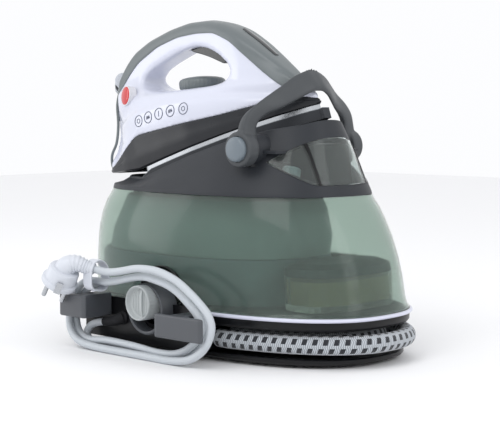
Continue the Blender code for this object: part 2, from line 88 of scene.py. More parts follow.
class Nodes:
    """A short way to wire a material."""

    def __init__(self, name):
        self.m = bpy.data.materials.new(name)
        self.m.use_nodes = True
        self.t = self.m.node_tree
        self.b = self.t.nodes["Principled BSDF"]

    def add(self, kind):
        return self.t.nodes.new(kind)

    def fill(self, socket, value):
        """Set a plain value on the socket, or link another socket to it."""
        if isinstance(value, (int, float, tuple)):
            socket.default_value = value
        else:
            self.t.links.new(value, socket)

    def math(self, op, *values):
        n = self.add("ShaderNodeMath")
        n.operation = op
        for socket, v in zip(n.inputs, values):
            self.fill(socket, v)
        return n.outputs[0]

    def mix(self, fac, a, b):
        n = self.add("ShaderNodeMix")
        n.data_type = "RGBA"
        for k, v in ((0, fac), (6, a), (7, b)):
            self.fill(n.inputs[k], v)
        return n.outputs[2]

    def noise(self, scale, detail=2.0):
        co = self.add("ShaderNodeTexCoord")
        n = self.add("ShaderNodeTexNoise")
        n.inputs["Scale"].default_value = scale
        n.inputs["Detail"].default_value = detail
        self.t.links.new(co.outputs["Object"], n.inputs["Vector"])
        return n.outputs[0]

    def bump(self, height, dist, strength):
        n = self.add("ShaderNodeBump")
        n.inputs["Distance"].default_value = dist
        n.inputs["Strength"].default_value = strength
        self.t.links.new(height, n.inputs["Height"])
        self.t.links.new(n.outputs[0], self.b.inputs["Normal"])

    def set(self, **kw):
        for k, v in kw.items():
            self.fill(self.b.inputs[k.replace("_", " ")], v)


def plastic(name, hexa, rough, grain, depth, vary, coat=0.0):
    """Moulded plastic: fine spark-eroded grain, faint cloudiness and uneven gloss."""
    k = Nodes(name)
    base = srgb(hexa)
    k.set(Base_Color=k.mix(k.noise(18, 3), darker(base, 1 - vary), base), Roughness=rough, IOR=1.5)
    k.set(Roughness=k.math("MULTIPLY_ADD", k.noise(60, 4), 0.12, rough - 0.06))
    k.bump(k.noise(grain, 2), depth, 0.5)
    if max(base[:3]) < 0.08:
        k.set(Specular_IOR_Level=0.28)
    if coat:
        k.set(Coat_Weight=coat, Coat_Roughness=0.08)
    return k.m


def clear(name, hexa, rough, trans):
    """Clear or smoky plastic with a faintly wavy face."""
    k = Nodes(name)
    base = srgb(hexa)
    k.set(Base_Color=k.mix(k.noise(9, 2), darker(base, 0.9), base))
    k.set(Roughness=rough, IOR=1.25, Transmission_Weight=trans)
    k.bump(k.noise(25, 1), 0.0002, 0.25)
    return k.m


def metal(name, hexa, rough):
    k = Nodes(name)
    k.set(Base_Color=srgb(hexa), Metallic=1.0, Roughness=rough)
    k.set(Roughness=k.math("MULTIPLY_ADD", k.noise(400, 5), 0.25, rough - 0.1))
    return k.m


def braid(name):
    """Woven sleeve: pale yarns in a herringbone, with dark picks in staggered rows."""
    rows_round, pick_pitch, yarn_pitch = 6, 9.4, 1.9
    k = Nodes(name)
    uv = k.add("ShaderNodeUVMap")
    uv.uv_map = "UVMap"
    sep = k.add("ShaderNodeSeparateXYZ")
    k.t.links.new(uv.outputs[0], sep.inputs[0])
    u, v = sep.outputs[0], sep.outputs[1]
    across = k.math("MULTIPLY", u, rows_round)
    place = k.math("FRACT", across)
    off_centre = k.math("ABSOLUTE", k.math("SUBTRACT", place, 0.5))
    shift = k.math("MULTIPLY", k.math("MODULO", k.math("FLOOR", across), 2), 0.5)
    slant = k.math("MULTIPLY", k.math("SUBTRACT", place, 0.5), 0.22)
    along = k.math("ADD", k.math("DIVIDE", v, pick_pitch), shift)
    along = k.math("FRACT", k.math("ADD", along, slant))
    in_v = k.math("LESS_THAN", k.math("ABSOLUTE", k.math("SUBTRACT", along, 0.5)), 0.235)
    in_u = k.math("LESS_THAN", off_centre, 0.33)
    dash = k.math("MULTIPLY", in_u, in_v)
    turns = k.math("ADD", k.math("DIVIDE", v, yarn_pitch), k.math("MULTIPLY", off_centre, 1.6))
    yarn = k.math("SINE", k.math("MULTIPLY", turns, 2 * math.pi))
    yarn = k.math("MULTIPLY_ADD", yarn, 0.5, 0.5)
    pale = k.mix(yarn, srgb("7d838a"), srgb("cdd2d7"))
    pale = k.mix(k.math("MULTIPLY", k.noise(700, 3), 0.5), pale, srgb("999ea5"))
    k.set(Base_Color=k.mix(dash, pale, srgb("1d2027")), Roughness=0.85, Sheen_Weight=0.25)
    k.bump(k.math("ADD", yarn, k.math("MULTIPLY", k.noise(1500, 2), 0.5)), 0.0004, 0.8)
    return k.m


MATERIALS = {
    "slate": plastic("slate_plastic", "2b2e33", 0.46, 1500, 0.00005, 0.08),
    "skirt": plastic("skirt_plastic", "26282c", 0.3, 1500, 0.00004, 0.08),
    "white": plastic("white_gloss", "ced1df", 0.22, 2200, 0.00001, 0.02, 0.35),
    "cover": plastic("cover_grey", "656c6e", 0.36, 1500, 0.00003, 0.04),
    "handle": plastic("handle_grey", "484b4e", 0.42, 1500, 0.00004, 0.05),
    "button": plastic("button_grey", "6a747c", 0.34, 1500, 0.00002, 0.03),
    "tank": clear("tank_smoke", "cedcd4", 0.1, 0.94),
    "clear": clear("clear_window", "e4ecea", 0.05, 0.95),
    "filter": clear("filter_clear", "dfe6df", 0.12, 0.9),
    "trim": plastic("trim_white", "cfd1e2", 0.3, 2000, 0.00001, 0.02, 0.2),
    "black": plastic("base_black", "0d0e11", 0.3, 1500, 0.00004, 0.15),
    "hook": plastic("hook_grey", "4b4e53", 0.42, 1500, 0.00004, 0.06),
    "knob": plastic("knob_grey", "b4b9ba", 0.4, 1300, 0.00005, 0.05),
    "cord": plastic("cord_pvc", "bcc2c8", 0.42, 900, 0.00005, 0.04),
    "plug": plastic("plug_white", "ced2da", 0.36, 1500, 0.00003, 0.03),
    "red": plastic("badge_red", "c40d18", 0.2, 2000, 0.00001, 0.1, 0.6),
    "badge_rim": plastic("badge_rim", "d9d9df", 0.25, 2000, 0.00001, 0.05, 0.3),
    "icon": plastic("icon_ink", "5c6272", 0.5, 900, 0.00001, 0.05),
    "rim": plastic("tray_rim", "5d6269", 0.3, 1500, 0.00002, 0.05),
    "lens": plastic("smoke_lens", "1d2024", 0.12, 2000, 0.00001, 0.1, 0.6),
    "rubber": plastic("rubber_black", "1d1e21", 0.75, 800, 0.00008, 0.1),
    # one housing plastic in two tones: a darker painted shade for the lower housing and a lighter painted
    # light for the upper housing and float
    "inner_painted_shade": plastic("housing_low", "5b7275", 0.6, 300, 0.0001, 0.12),
    "inner_top": plastic("housing_top", "7f9493", 0.6, 300, 0.0001, 0.1),
    "inner_dark": plastic("housing_dark", "3c4a4c", 0.6, 300, 0.0001, 0.15),
    "resin": plastic("resin_beads", "b9a968", 0.9, 900, 0.0012, 0.45),
    "steel": metal("steel", "b9bcc0", 0.25),
    "brass": metal("brass", "b8964f", 0.35),
    "alu": metal("aluminium", "a4a8ab", 0.45),
    "pcb": plastic("board_green", "1f5130", 0.5, 500, 0.0001, 0.2),
    "amber": plastic("lens_amber", "dd8d28", 0.2, 2000, 0.00001, 0.1, 0.5),
    "braid": braid("hose_braid"),
}


# ----------------------------------------------------------------- helpers
def table(t, x):
    """Value at x in a table of x, value pairs."""
    a = np.array(t, float)
    return float(np.interp(x, a[:, 0], a[:, 1]))


def iron_pt(p):
    """Base point of a point of the iron, whose own frame lies on the slope of the rest."""
    x, y, z = p
    c, s = math.cos(REST_SLOPE), math.sin(REST_SLOPE)
    return (REST_X + c * x - s * z, y, REST_Z + s * x + c * z)


def iron_way(v):
    """Base direction of a direction of the iron."""
    return (Vector(iron_pt(v)) - Vector(iron_pt((0, 0, 0)))).normalized()


def raw_mesh(name, verts, faces):
    me = bpy.data.meshes.new(name)
    me.from_pydata([[c * MM for c in v] for v in verts], [], faces)
    return me


def turn_outward(me):
    """Make all faces look outward."""
    bm = bmesh.new()
    bm.from_mesh(me)
    bmesh.ops.recalc_face_normals(bm, faces=bm.faces)
    bm.to_mesh(me)
    bm.free()


def shade(o, angle=38):
    o.data.shade_smooth()
    o.data.set_sharp_from_angle(angle=math.radians(angle))


def wrap(name, me, mat, body, angle):
    """Object of a mesh, with its material and the body that it rides."""
    o = bpy.data.objects.new(name.replace(" ", "_").replace(",", ""), me)
    scene.collection.objects.link(o)
    me.materials.append(MATERIALS[mat])
    shade(o, angle)
    if body:
        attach(o, body)
    return o


def build(name, verts, faces, mat, body, angle=38, slot=None):
    me = raw_mesh(name, verts, faces)
    turn_outward(me)
    return wrap(name, me, mat, body, angle)


def swap(o, *names):
    """Hide the CAD nodes of these names, which o takes the place of."""
    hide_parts(*names)
    return o


def grid(rings, closed=False):
    """Vertices and faces of a skin over rings, capped at both ends or closed on itself."""
    n, m = len(rings[0]), len(rings)
    verts = [tuple(p) for r in rings for p in r]
    faces = []
    for j in range(m if closed else m - 1):
        k = (j + 1) % m
        for i in range(n):
            h = (i + 1) % n
            faces.append((j * n + i, j * n + h, k * n + h, k * n + i))
    if not closed:
        faces.append(tuple(range(n)))
        faces.append(tuple(range((m - 1) * n, m * n)))
    return verts, faces


def ring(a, b, z, x0=0.0, power=2.5, n=180):
    """Superellipse of half sizes a and b round x0; z is a height or a function of x."""
    t = np.linspace(0, 2 * math.pi, n, endpoint=False)
    c, s = np.cos(t), np.sin(t)
    x = x0 + a * np.sign(c) * np.abs(c) ** (2 / power)
    y = b * np.sign(s) * np.abs(s) ** (2 / power)
    zz = np.array([z(v) for v in x]) if callable(z) else np.full(n, float(z))
    return np.stack([x, y, zz], 1)


def pick(points, q):
    """Points at the fractional indices q of a row of points."""
    return np.stack([np.interp(q, range(len(points)), points[:, i]) for i in range(3)], -1)


def smooth(pts, step, closed=False):
    """Even points on a Catmull-Rom curve through pts, and its length."""
    P = np.array(pts, float)
    n = len(P)
    out = []
    for i in range(n if closed else n - 1):
        a = P[(i - 1) % n] if closed or i else 2 * P[0] - P[1]
        b, c = P[i], P[(i + 1) % n]
        d = P[(i + 2) % n] if closed or i + 2 < n else 2 * P[-1] - P[-2]
        for t in np.linspace(0, 1, 12, endpoint=False):
            square = (2 * a - 5 * b + 4 * c - d) * t ** 2
            cube = (3 * b - a - 3 * c + d) * t ** 3
            out.append(0.5 * (2 * b + (c - a) * t + square + cube))
    out.append(P[0] if closed else P[-1])
    out = np.array(out)
    for _ in range(3):
        out[1:-1] = out[1:-1] * 0.5 + (out[:-2] + out[2:]) * 0.25
    s = np.r_[0, np.cumsum(np.linalg.norm(np.diff(out, axis=0), axis=1))]
    m = max(4, int(round(s[-1] / step)))
    q = np.linspace(0, s[-1], m + 1)
    return np.stack([np.interp(q, s, out[:, i]) for i in range(3)], 1), s[-1]


def tube(name, path, r, mat, body, n):
    """Round tube with turn-free frames and UVs: u round it, v its length in millimetres."""
    P = np.asarray(path, float)
    m = len(P)
    T = np.gradient(P, axis=0)
    T /= np.linalg.norm(T, axis=1)[:, None]
    u = np.cross(T[0], [0, 0, 1.0])
    if np.linalg.norm(u) < 0.1:
        u = np.cross(T[0], [1.0, 0, 0])
    s = np.r_[0, np.cumsum(np.linalg.norm(np.diff(P, axis=0), axis=1))]
    R = np.full(m, float(r)) if np.isscalar(r) else np.asarray(r, float)
    rings = []
    ang = np.linspace(0, 2 * math.pi, n, endpoint=False)
    for i in range(m):
        u = u - T[i] * np.dot(u, T[i])
        u /= np.linalg.norm(u)
        w = np.cross(T[i], u)
        rings.append(P[i] + R[i] * (np.outer(np.cos(ang), u) + np.outer(np.sin(ang), w)))
    me = raw_mesh(name, *grid(rings))
    lay = me.uv_layers.new(name="UVMap")
    for f in me.polygons:
        idx = [me.loops[k].vertex_index for k in f.loop_indices]
        if len(idx) == 4:
            over_seam = max(v % n for v in idx) - min(v % n for v in idx) > n / 2
            for k, v in zip(f.loop_indices, idx):
                c = v % n
                lay.data[k].uv = ((c + n if over_seam and c == 0 else c) / n, s[v // n])
    turn_outward(me)
    return wrap(name, me, mat, body, 60)


def lathe(name, prof, centre, axis, mat, body, n=64, angle=35, slot=None, place=None, flute=None):
    """Turned shape from radius, height pairs; flute(angle, height) swells its radius."""
    ax = Vector(axis).normalized()
    u = ax.orthogonal().normalized()
    v = ax.cross(u)
    c = Vector(centre)
    rings = []
    for r, h in prof:
        row = []
        for i in range(n):
            t = 2 * math.pi * i / n
            rr = r * (1 + (flute(t, h) if flute else 0))
            p = tuple(c + ax * h + (u * math.cos(t) + v * math.sin(t)) * rr)
            row.append(place(p) if place else p)
        rings.append(row)
    return build(name, *grid(rings), mat, body, angle, slot)


def bevel(o, width, segments, harden=True):
    m = o.modifiers.new("edges", "BEVEL")
    m.width = width * MM
    m.segments = segments
    m.limit_method = "ANGLE"
    m.harden_normals = harden


def extrude(poly, axis, a, b):
    """Vertices and faces of an outline drawn out along an axis from a to b."""
    verts = []
    for t in (a, b):
        for p in poly:
            q = list(p)
            q.insert("xyz".index(axis), t)
            verts.append(q)
    n = len(poly)
    sides = [(i, (i + 1) % n, n + (i + 1) % n, n + i) for i in range(n)]
    return verts, [tuple(range(n)), tuple(range(n, 2 * n))] + sides


def block(name, poly, axis, a, b, mat, body, edge, slot=None, seg=3):
    o = build(name, *extrude(poly, axis, a, b), mat, body, 60, slot)
    bevel(o, edge, seg)
    return o


def prism(poly, a, b, place=None):
    """Cutter with an x, z outline, from y = a to b."""
    verts, faces = extrude(poly, "y", a, b)
    return build("cutter", [place(v) for v in verts] if place else verts, faces, "black", None)


def bake(o):
    """Turn the modifiers of o into plain mesh, with its first material on every face."""
    me = bpy.data.meshes.new_from_object(o.evaluated_get(bpy.context.evaluated_depsgraph_get()))
    look = o.data.materials[0]
    o.modifiers.clear()
    o.data = me
    me.materials.clear()
    me.materials.append(look)
    me.polygons.foreach_set("material_index", [0] * len(me.polygons))


def cut(o, cutter, op="DIFFERENCE"):
    m = o.modifiers.new("cut", "BOOLEAN")
    m.operation = op
    m.solver = "EXACT"
    m.object = cutter
    bake(o)
    bpy.data.objects.remove(cutter, do_unlink=True)
    shade(o)


def rod_cut(o, c, axis, r, length):
    cut(o, lathe("cutter", [(r, 0), (r, length)], c, axis, "black", None))


def remesh(o, size, passes):
    """Fuse and round everything in o: voxel remesh, then relax."""
    m = o.modifiers.new("remesh", "REMESH")
    m.mode = "VOXEL"
    m.voxel_size = size * MM
    s = o.modifiers.new("relax", "SMOOTH")
    s.factor = 0.5
    s.iterations = passes
    bake(o)
    o.data.shade_smooth()


def dress(node, mat, edge):
    """Give a kept CAD piece its material and softened edges."""
    o = nodes[node]
    for s in o.material_slots:
        s.material = MATERIALS[mat]
    shade(o, 35)
    if edge:
        bevel(o, edge, 2)


def loft(name, rings, mat, node=None, body="base", closed=True, place=None, slot=None):
    verts, faces = grid([[place(p) for p in r] if place else r for r in rings], closed)
    o = build(name, verts, faces, mat, body, 32, slot)
    if node:
        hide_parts(node)
    return o


# ------------------------------------------------------------ base station
SOCKET_HOLE = 7.5
loft("base tray", [ring(138, 56, 4), ring(138, 56, 34), ring(139, 57, 36), ring(178, 96, 36),
                   ring(178, 96, 41), ring(186, 104, 41), ring(186.6, 104.6, 39), ring(186.4, 104.4, 35),
                   ring(185, 103, 33), ring(182, 100, 32), ring(147, 65, 31.5), ring(146, 64, 30.5),
                   ring(146, 64, 8), ring(148, 66, 6.5), ring(180, 99, 6), ring(181, 100, 5),
                   ring(181, 100, 2), ring(179, 98, 0)], "black", "base_tray", closed=False,
     slot="base_black")
loft("rim trim", [ring(184, 102, 41.1), ring(187, 105, 41.2), ring(188.6, 106.6, 41.7),
                  ring(189.3, 107.3, 42.6), ring(189.3, 107.3, 43.6), ring(188.6, 106.8, 44.6),
                  ring(187.4, 105.8, 45.1), ring(176, 94, 45), ring(176, 94, 41.3)], "trim", "rim_trim",
     slot="trim_white")
# height, half length, half width and middle of the tank wall, upward
TANK_WALL = [(45.3, 187, 105.5, 0), (47, 185.2, 104.6, 0), (50, 183.3, 103.9, 0), (58, 181, 103, 0),
             (66, 180.3, 102.7, -.7), (75, 179.5, 102.2, -1.5), (93, 177, 100.7, -3.5),
             (104, 174.7, 99.7, -5.1), (115, 172, 98.4, -6.6), (130, 166.5, 95.4, -8.3),
             (142, 160.5, 92.4, -9), (151, 154, 89, -9), (154.4, 152, 88, -9)]
TANK_THICK = 2.4
outer_wall = [ring(a, b, z, x) for z, a, b, x in TANK_WALL]
inner_wall = [ring(a - TANK_THICK, b - TANK_THICK, z, x) for z, a, b, x in reversed(TANK_WALL)]
tank = loft("tank", outer_wall + inner_wall, "tank", "tank_shell", slot="tank_smoke")
rod_cut(tank, (KNOB_X, -120, KNOB_Z), (0, 1, 0), SOCKET_HOLE, 30)
loft("tank floor", [ring(182.5, 101, 45.4), ring(182, 100.6, 46.5), ring(119, 73.6, 46.5, -40),
                    ring(119, 73.6, 45.4, -40)], "inner_dark", "tank_floor")
# lower housing in the painted-shade tone, upper housing in the painted-light tone of the same plastic
low = loft("lower housing", [ring(126, 80, 89, -42), ring(128, 82, 47, -42), ring(134, 88, 47, -42),
                             ring(132, 86.5, 88, -42), ring(130, 84.5, 91.6, -42),
                             ring(127, 81, 92, -42)], "inner_painted_shade", "housing_lower", closed=False)
rod_cut(low, (KNOB_X, -120, KNOB_Z), (0, 1, 0), SOCKET_HOLE, 50)
loft("upper housing", [ring(104, 60, 146, -30), ring(124, 78, 92.4, -38), ring(128, 82, 92.4, -38),
                       ring(127, 81, 112, -34), ring(119, 73, 139, -30), ring(115, 69, 148, -30),
                       ring(108, 62, 151, -30)], "inner_top", "housing_upper")
swap(lathe("bezel", [(21.4, 0), (21.4, 17.5), (22, 18.8), (23.4, 19.4), (24.8, 18.8), (25.4, 17.2),
                     (26, 4), (26, 0)], (KNOB_X, -107.6, KNOB_Z - 8.5), (0, -1, 0), "hook", "base", 128,
           slot="hook_grey"), "knob_bezel")
# two dark rings round the drain
for r in (27.5, 31):
    lathe("drain ring", [(r, 0), (r, 2.4), (r + .8, 3), (r + 1.6, 2.4), (r + 1.6, 0)],
          (KNOB_X, -102, KNOB_Z), (0, -1, 0), "black", "base", 96)

# the calc knob: a dished cap, ribbed inside, with a fin across it
KNOB_LOOK_Z = KNOB_Z - 1.6
RIB_PITCH, DISH_RADIUS = 2.3, 13.2


def knurl(t, h):
    return 0.006 * math.sin(t * 30) if 3 < h < 20 else 0


cap = lathe("knob", [(0.01, 0), (16.4, 0), (17, 1), (17.2, 4), (17.2, 17), (16.9, 18.3), (16.2, 18.8),
                     (15.6, 18.4), (15.2, 17), (14.9, 14), (13.6, 13), (0.01, 12.8)],
            (KNOB_X, -118.2, KNOB_LOOK_Z), (0, -1, 0), "knob", "calc_knob", 144, 50, "hook_grey",
            flute=knurl)
swap(cap, "calc_knob")
for k in range(-5, 6):
    h = math.sqrt(DISH_RADIUS ** 2 - (k * RIB_PITCH) ** 2)
    lathe("knob rib", [(0.01, 0), (0.9, 0.5), (0.9, 2 * h - 0.5), (0.01, 2 * h)],
          (KNOB_X + k * RIB_PITCH, -131.2, KNOB_LOOK_Z - h), (0, 0, 1), "knob", "calc_knob", 12,
          slot="hook_grey")
fin = [(-134.6, KNOB_Z - 9), (-134.6, KNOB_Z + 6), (-132.6, KNOB_Z + 11.6), (-129, KNOB_Z + 11.6),
       (-129, KNOB_Z - 14.8), (-132.6, KNOB_Z - 14.8)]
block("knob fin", fin, "x", KNOB_X + 1, KNOB_X + 3.6, "knob", "calc_knob", 1.1, "hook_grey")

# cord store
left = [(-97, -113.3), (-77, -113.3), (-77, -148.6), (-80, -150.4), (-113, -150.4), (-117, -148.6),
        (-117, -145.6), (-113, -144.4), (-97, -144.4)]
swap(block("left hook", left, "z", 30, 53, "hook", "base", 2.2, "hook_grey", 4), "hook_left")
right = [(42, -113.3), (58, -113.3), (60, -144.4), (84, -145), (87.5, -147.5), (85, -150.6), (26, -150.6),
         (22.6, -148), (26, -145), (40, -144.4)]
swap(block("right hook", right, "z", 23.5, 46, "hook", "base", 2.2, "hook_grey", 4), "hook_right")

# ------------------------------------------------------------- mains cord
# the y of the inner, the middle and the outer turn
A, B, C = -125.2, -132.8, -140.3
cord_pts = [(-60, -114.5, 29), (-63.5, -118, 27), (-75, -119.4, 24.5), (-90, -120, 22),
            (-101, -121.5, 17.5), (-104.5, -123.5, 10), (-97, A, 4), (-80, A, 1.6), (-46, A, 1.2),
            (-6, A, 1.4), (28, A, 2), (56, A, 11), (68.5, A, 27), (66, A, 43), (50, A, 59), (22, A, 72),
            (-14, A, 75.5), (-50, A, 69), (-87, A, 61.5), (-111, A, 48), (-118, A - 1, 28),
            (-110, A - 4, 12), (-90, B, 6), (-62, B, 8), (-24, B, 7), (12, B, 4.5), (38, B, 7),
            (58, B, 17), (70, B, 32), (66, B, 45), (52, B, 57), (34, B, 68), (12, B, 74), (-14, B, 76),
            (-58, B, 67), (-86, B, 66), (-103, B, 60), (-116, B, 44), (-119.5, B - 1, 28),
            (-114, B - 4, 14), (-98, C, 5), (-75, C, 1.6), (-36, C, 1), (0, C, 1), (36, C, 1),
            (63, C, 5.5), (82, C, 18), (91, C, 36), (87, C, 49), (77, C, 58), (64, C, 67), (45, C, 77.5),
            (19, C, 84.6), (-8.5, C, 85), (-30, C, 81), (-51, C, 78), (-66, C - 1.5, 79),
            (-76, C - 6, 81)]
cord_line, cord_len = smooth(cord_pts, 3.0)
cord = tube("mains cord", cord_line, CORD_RADIUS, "cord", "base", 20)
swap(cord, "cord_wrap")
swap(lathe("gland", [(0.01, 0), (6.4, 0), (6.4, 1.2), (5.6, 2), (4.2, 2.6), (3.9, 2.6)],
           (-60, -113.3, 29), (0, -1, 0), "rubber", "base", 48), "cord_gland")
sleeve = cord_line[:9]
tube("strain relief", sleeve, np.linspace(6.2, 4.3, len(sleeve)), "rubber", "base", 24)


def band(name, loop, x0, x1, thick, mat, slot):
    """Band of some thickness round a closed y, z loop, from x0 to x1."""
    P, _ = smooth([(x0, *p) for p in loop], 1.0, closed=True)
    P = P[:-1]
    T = np.roll(P, -1, 0) - np.roll(P, 1, 0)
    N = np.cross(T, [1, 0, 0])
    N /= np.linalg.norm(N, axis=1)[:, None]
    rings = []
    for a, normal in zip(P, N):
        b = a + normal * thick
        rings.append([(x0, a[1], a[2]), (x1, a[1], a[2]), (x1, b[1], b[2]), (x0, b[1], b[2])])
    o = build(name, *grid(rings, closed=True), mat, "base", 30, slot)
    bevel(o, 0.6, 2, harden=False)
    return o


round_cord = [(-144.5, 84), (-147.5, 74), (-146.5, 62.5), (-138, 59), (-129.5, 60), (-126.8, 70),
              (-129, 82), (-137, 87)]
clip = band("cord clip", round_cord, -79, -67, 2.0, "plug", "white_abs")
swap(clip, "cord_clip")

# the plug: pinned disc, waist and a ribbed grip that turns to the cord
PLUG_AXIS = Vector((-0.54, 0, -0.84)).normalized()
PIN_SIDE = Vector((0.564, 0.745, -0.361))
PLUG_AT = Vector((-89, -161, 86))
head = lathe("plug", [(0.01, 7), (12.5, 7), (14.6, 7.6), (15.6, 9.4), (16.2, 19.6), (18.2, 20.6),
                      (18.4, 21.4), (18.4, 24.8), (17.6, 26), (15.4, 26.3), (14.8, 25.4), (0.01, 25.2)],
             PLUG_AT, PLUG_AXIS, "plug", "base", 96, 40, "white_abs")
swap(head, "plug_body")
grip_pts, _ = smooth([tuple(PLUG_AT + PLUG_AXIS * 12), tuple(PLUG_AT + PLUG_AXIS * 6),
                      (-89.5, -159, 83.5), (-83, -154, 85), (-76, -147.6, 82), (-69, -143.4, 79.8)], 0.8)
share = np.linspace(0, 1, len(grip_pts))
radius = np.interp(share, [0, .18, .4, .62, .8, 1], [10.5, 10.2, 9.2, 7.8, 6.6, 5.4])
ribs = np.sin(np.arange(len(grip_pts)) * 0.8 / 3.2 * 2 * math.pi) * 0.45
grip = tube("plug grip", grip_pts, radius + np.where(share > 0.35, ribs, 0), "plug", "base", 40)
for k, nm in ((1, "plug_pin_a"), (-1, "plug_pin_b")):
    pin = lathe("pin " + nm[-1], [(2.4, 0), (2.4, 17), (2.1, 18.4), (1.2, 19.2), (0.01, 19.4)],
                PLUG_AT + PLUG_AXIS * 26.1 + PIN_SIDE * (9.5 * k), PLUG_AXIS, "steel", "base", 32)
    swap(pin, nm)
earth = PLUG_AXIS.cross(PIN_SIDE).normalized()
for k in (1, -1):
    c = PLUG_AT + PLUG_AXIS * 20 + earth * (18.2 * k)
    u, v, w = PIN_SIDE * 3.2, PLUG_AXIS * 6.4, earth * 0.7
    corners = [tuple(c + u * a + v * b + w * d) for a in (-1, 1) for b in (-1, 1) for d in (-1, 1)]
    sides = [(0, 1, 3, 2), (4, 6, 7, 5), (0, 4, 5, 1), (2, 3, 7, 6), (0, 2, 6, 4), (1, 5, 7, 3)]
    build("earth strip", corners, sides, "steel", "base")


# ------------------------------------------------------------------- hose
def track(a, b, t0, t1, z0, z1, bulge=0.0):
    """Turn of the hose in its groove, from angle t0 to t1 in degrees; bulge lengthens its nose."""
    steps = 44
    out = []
    for i in range(steps + 1):
        t = math.radians(t0 + (t1 - t0) * i / steps)
        c, s = math.cos(t), math.sin(t)
        x = (a + bulge * max(0.0, c) ** 3) * math.copysign(abs(c) ** 0.8, c)
        out.append((x, b * math.copysign(abs(s) ** 0.8, s), z0 + (z1 - z0) * i / steps))
    return out


BOOT_AT = Vector(iron_pt((-58, 14, 130)))
BOOT_AXIS = iron_way((0.66, -0.72, -0.2))
HOSE_Z = 19.2
inner_pts = [(54, -73.5, HOSE_Z)] + track(156.5, 76, -68, 180, HOSE_Z, HOSE_Z) + [(-153, -28, HOSE_Z)]
inner, inner_len = smooth(inner_pts, 3.0)
outer_pts = [(54, -91.5, HOSE_Z), (70, -92, HOSE_Z)] + track(177, 96, -60, 132, 19.4, 20.6, bulge=12)
ox, oy, _ = outer_pts[-1]
rise_pts = [(ox - 14, oy + 1, 20.9), (ox - 27, oy + 3, 24), (ox - 38, oy + 6, 40), (ox - 36, oy + 12, 80),
            (ox - 40, oy + 16, 140), (ox - 52, oy + 12, 190), (ox - 66, oy - 2, 232),
            tuple(BOOT_AT - 26 * BOOT_AXIS - Vector((0, 4, 9))), tuple(BOOT_AT - 14 * BOOT_AXIS),
            tuple(BOOT_AT - 1.2 * BOOT_AXIS)]
outer, outer_len = smooth(outer_pts + rise_pts, 3.0)
hose_a = tube("hose, inner turn", inner, HOSE_RADIUS, "braid", "base", 40)
swap(hose_a, "hose_inner")
hose_b = tube("hose, outer turn", outer, HOSE_RADIUS, "braid", None, 40)
swap(hose_b, "hose_outer", "hose_riser")
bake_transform(hose_b)

# ----------------------------------------------------- collar and windows
COLLAR_TOP = [(-152, 167), (-94, 167), (-79, 171.5), (-13, 193), (27, 205), (77, 218), (104, 223),
              (118, 229)]
FOOT_Z = 155


def brim(a, b, d):
    """Ring at d above the collar's sloping top."""
    return ring(a, b, lambda x: table(COLLAR_TOP, x) + d, -18, 2.3)


def waist(d, k):
    """Ring half way up the collar, raised by d and drawn in by k."""
    return ring(142 - k, 76 - k, lambda x: FOOT_Z + (table(COLLAR_TOP, x) - FOOT_Z) * 0.5 + d, -13, 2.4)


def foot(a, b, z=FOOT_Z):
    return ring(a, b, z, -9)


collar = loft("collar", [brim(128, 57, -15), waist(0, 3.5), foot(146, 82, 154.8), foot(152, 88, 154.8),
                         foot(151.8, 87.8, 156), foot(150.9, 86.8, 159), waist(0, 0),
                         brim(134.6, 63.6, -2.2), brim(134, 63, -0.7), brim(132.8, 61.8, 0),
                         brim(131.4, 60.4, -0.6), brim(131.2, 60.2, -12)], "slate", "collar",
              slot="slate_abs")
OPENING = [(85, 187.5), (98, 181), (112, 174.5), (130, 165.5), (220, 165.5), (220, 252), (134, 217),
           (122, 211), (106, 202)]
cut(collar, prism(OPENING, -120, 120))
for s in (1, -1):
    for y, r in ((30, 13.3), (64.8, 17.6)):
        rod_cut(collar, (PIVOT_X, s * y, PIVOT_Z), (0, s, 0), r, 60)
PANE = [(85.6, 187.3), (98.2, 181.4), (112.1, 174.9), (130, 165.9), (220, 165.9), (220, 251),
        (133.9, 216.6), (121.8, 210.6), (106.1, 201.6)]


def pane(name, outside, y0, y1, mat, body, node=None, slot=None):
    """Piece of the window's skin from y0 to y1, with its own outside rings."""
    inside = [brim(131.6, 60.6, -0.2), waist(0, 2.4), foot(149.6, 85.6)]
    o = loft(name, inside + outside, mat, node, None, slot=slot)
    cut(o, prism(PANE, y0, y1), "INTERSECT")
    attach(o, body)


for nm, y0, y1, body in (("window_near", -120, -34.3, "base"), ("window_far", 34.3, 120, "base"),
                         ("fill_flap", -34, 34, "fill_flap")):
    pane(nm.replace("_", " "), [foot(152, 88), waist(0, 0), brim(134.2, 63.2, -0.2)], y0, y1, "clear",
         body, nm, "clear_pc")
for y0, y1 in ((-35.6, -33.4), (33.4, 35.6)):
    pane("pane seam", [foot(152.3, 88.3), waist(0.3, -0.4), brim(134.6, 63.6, 0.2)], y0, y1, "black",
         "base")
# float in the housing plastic's painted-light tone
lathe("float", [(0.01, 0), (8, 0), (9, 1), (9, 9), (7.5, 10.5), (0.01, 11)], (100, -42, 172), (0, 0.3, 1),
      "inner_top", "base", 48)
block("filler wall", [(52, 162), (122, 162), (114, 205), (52, 200)], "y", -30, 30, "black", "base", 4)

# --------------------------------------------------------------- the iron
def dense(t):
    """A table of x, value pairs smoothed to 400 even steps."""
    a = np.array(t, float)
    x = np.linspace(a[0, 0], a[-1, 0], 400)
    y = np.interp(x, a[:, 0], a[:, 1])
    for _ in range(60):
        y[1:-1] = y[1:-1] * 0.5 + (y[:-2] + y[2:]) * 0.25
    return np.stack([x, y], 1)


